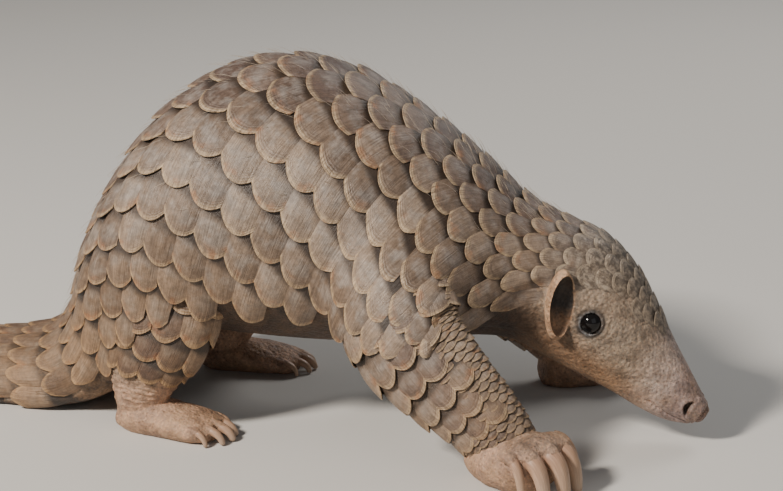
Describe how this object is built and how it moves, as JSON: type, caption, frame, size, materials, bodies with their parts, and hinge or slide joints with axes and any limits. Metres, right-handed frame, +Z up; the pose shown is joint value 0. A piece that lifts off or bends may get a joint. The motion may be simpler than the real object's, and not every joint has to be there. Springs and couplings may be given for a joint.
{
  "type": "life-size chinese pangolin figure",
  "caption": "Still life-size Chinese pangolin walking with arched back, low snout, overlapping scales, clawed paws and a long tail laid on the floor.",
  "frame": {"origin": "middle of the whole model's box on the floor plane, under the animal", "axes": "+X forwards, towards the snout, along the length of head, trunk and tail; +Y to the animal's left; +Z up"},
  "size_m": [0.5972, 0.2068, 0.1754],
  "materials": {
    "scales": "satin horn, dusty grey brown with paler free edges",
    "skin": "bare soft skin, greyish pink tan",
    "claw": "smooth horn, pinkish tan",
    "eye": "wet glossy near black"
  },
  "bodies": {
    "root": {"head": "skin", "neck": "scales", "chest": "scales", "back": "scales", "rump": "scales", "tail_1": "scales", "tail_2": "scales", "tail_3": "scales", "tail_4": "scales", "eye_right": "eye", "ear_right": "skin", "foreleg_right": "scales", "forepaw_right": "skin", "foreclaw_right_1": "claw", "foreclaw_right_2": "claw", "foreclaw_right_3": "claw", "foreclaw_right_4": "claw", "foreclaw_right_5": "claw", "hindleg_right": "scales", "hindpaw_right": "skin", "hindclaw_right_1": "claw", "hindclaw_right_2": "claw", "hindclaw_right_3": "claw", "hindclaw_right_4": "claw", "hindclaw_right_5": "claw", "eye_left": "eye", "ear_left": "skin", "foreleg_left": "scales", "forepaw_left": "skin", "foreclaw_left_1": "claw", "foreclaw_left_2": "claw", "foreclaw_left_3": "claw", "foreclaw_left_4": "claw", "foreclaw_left_5": "claw", "hindleg_left": "scales", "hindpaw_left": "skin", "hindclaw_left_1": "claw", "hindclaw_left_2": "claw", "hindclaw_left_3": "claw", "hindclaw_left_4": "claw", "hindclaw_left_5": "claw"}
  },
  "joints": []
}
